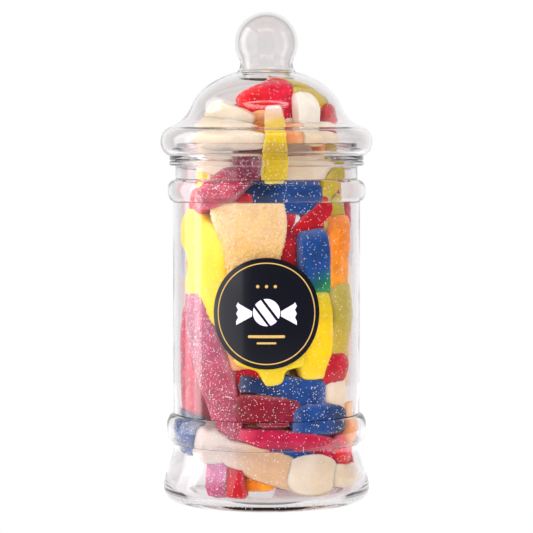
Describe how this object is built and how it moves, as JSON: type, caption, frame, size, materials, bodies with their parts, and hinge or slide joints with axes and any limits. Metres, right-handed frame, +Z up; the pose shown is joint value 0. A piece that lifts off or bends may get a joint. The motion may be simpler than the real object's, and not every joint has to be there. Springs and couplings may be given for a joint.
{
  "type": "jar of jelly sweets",
  "caption": "Clear turned sweet jar with a domed, knobbed lid and a round dark label, filled with large sugar-coated jelly sweets in many colours.",
  "frame": {"origin": "middle of the underside of the jar's foot, on the surface it stands on", "axes": "+Z up along the jar's axis, -Y towards the label"},
  "size_m": [0.1, 0.1, 0.2302],
  "materials": {
    "clear_jar": "clear, colourless, glossy moulded plastic",
    "clear_lid": "clear, colourless, glossy moulded plastic",
    "label_print": null,
    "sugared_jelly": "translucent jelly rolled in fine sugar, in yellow, cream, pink, red, navy, olive, orange and white"
  },
  "bodies": {
    "root": {"jar": "clear_jar", "lid": "clear_lid", "label": "label_print", "sweets": "sugared_jelly"}
  },
  "joints": []
}
